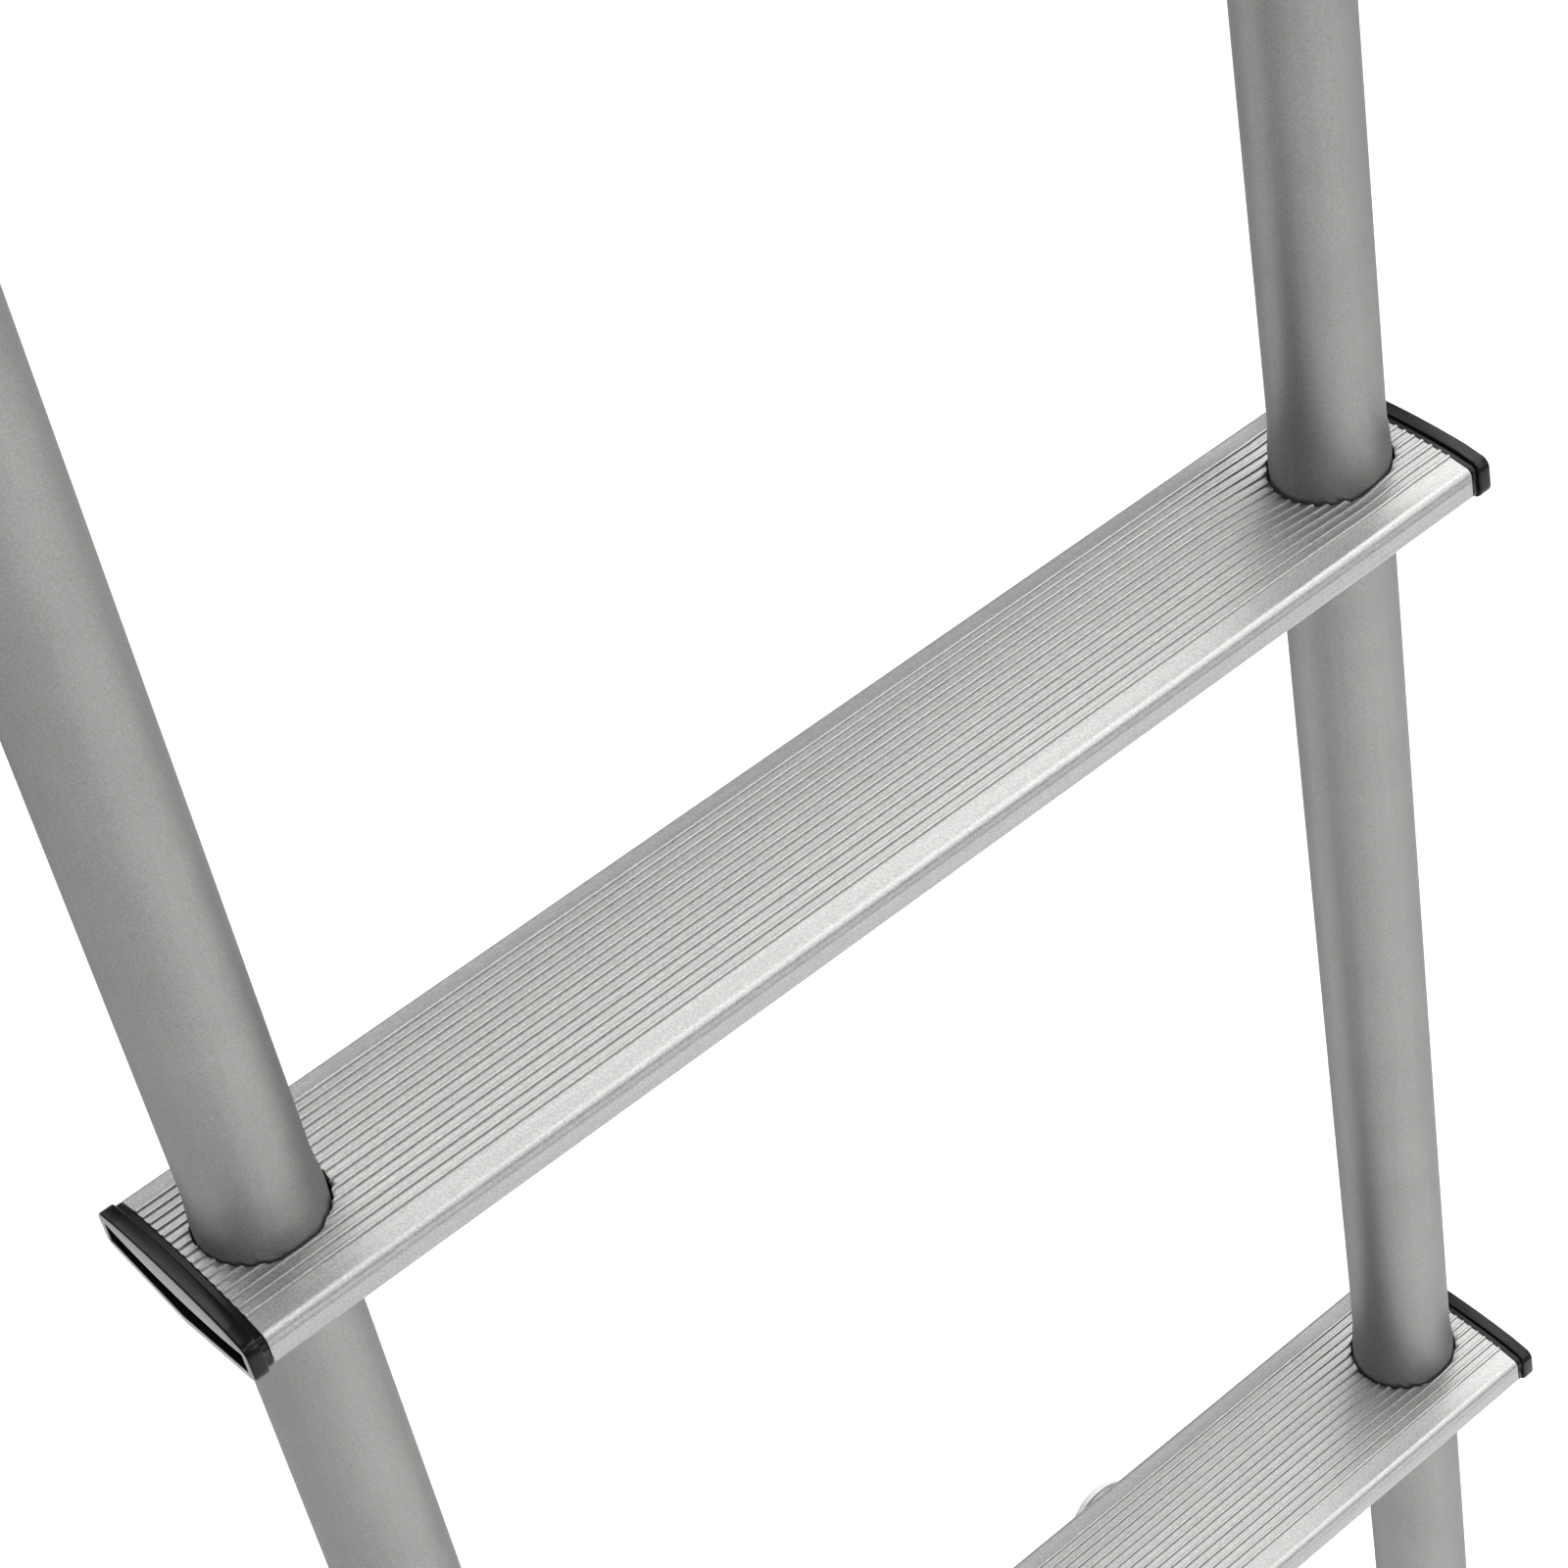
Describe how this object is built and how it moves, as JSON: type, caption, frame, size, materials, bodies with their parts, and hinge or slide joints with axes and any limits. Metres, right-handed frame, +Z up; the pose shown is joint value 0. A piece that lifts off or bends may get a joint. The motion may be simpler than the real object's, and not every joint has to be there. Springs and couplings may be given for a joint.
{
  "type": "boat boarding ladder",
  "caption": "Hinged boarding ladder with two bent tube rails, ribbed flat treads with end caps, hull stand-offs and deck hinge brackets.",
  "frame": {"origin": "on the deck surface, midway between the two hinge brackets, straight under the hinge axis", "axes": "+Z up, +Y inboard over the deck, X along the treads; the ladder hangs at -Y"},
  "size_m": [0.3592, 0.2464, 1.4858],
  "materials": {
    "satin_aluminium_tube": "satin anodised, fine grain",
    "satin_aluminium_tread": "satin anodised extrusion, fine grain",
    "gloss_black_plastic": "moulded, semi-gloss",
    "grey_nylon": "moulded, satin",
    "black_nylon": "moulded, matt",
    "stainless_plate": "brushed stainless sheet",
    "stainless_fastener": "plain stainless fastener"
  },
  "bodies": {
    "deck_hinges": {"hinge_bracket_left": "stainless_plate", "pivot_bolt_left": "stainless_fastener", "pivot_nut_left": "stainless_fastener", "spacer_left_inner": "black_nylon", "washer_left_inner": "stainless_fastener", "spacer_left_outer": "black_nylon", "washer_left_outer": "stainless_fastener", "deck_screw_left_1": "stainless_fastener", "deck_screw_left_2": "stainless_fastener", "deck_screw_left_3": "stainless_fastener", "deck_screw_left_4": "stainless_fastener", "hinge_bracket_right": "stainless_plate", "pivot_bolt_right": "stainless_fastener", "pivot_nut_right": "stainless_fastener", "spacer_right_inner": "black_nylon", "washer_right_inner": "stainless_fastener", "spacer_right_outer": "black_nylon", "washer_right_outer": "stainless_fastener", "deck_screw_right_1": "stainless_fastener", "deck_screw_right_2": "stainless_fastener", "deck_screw_right_3": "stainless_fastener", "deck_screw_right_4": "stainless_fastener"},
    "ladder": {"rail_left": "satin_aluminium_tube", "foot_plug_left": "grey_nylon", "arm_plug_left": "black_nylon", "pivot_sleeve_left": "black_nylon", "rail_right": "satin_aluminium_tube", "foot_plug_right": "grey_nylon", "arm_plug_right": "black_nylon", "pivot_sleeve_right": "black_nylon", "tread_1": "satin_aluminium_tread", "tread_cap_1_left": "gloss_black_plastic", "tread_cap_1_right": "gloss_black_plastic", "tread_2": "satin_aluminium_tread", "tread_cap_2_left": "gloss_black_plastic", "tread_cap_2_right": "gloss_black_plastic", "tread_3": "satin_aluminium_tread", "tread_cap_3_left": "gloss_black_plastic", "tread_cap_3_right": "gloss_black_plastic", "tread_4": "satin_aluminium_tread", "tread_cap_4_left": "gloss_black_plastic", "tread_cap_4_right": "gloss_black_plastic"}
  },
  "joints": [
    {"name": "ladder_swing", "type": "hinge", "parent": "deck_hinges", "child": "ladder", "pos_m": [0, 0, 0.02636], "axis": [-1, 0, 0], "range_deg": [0, 180]}
  ]
}
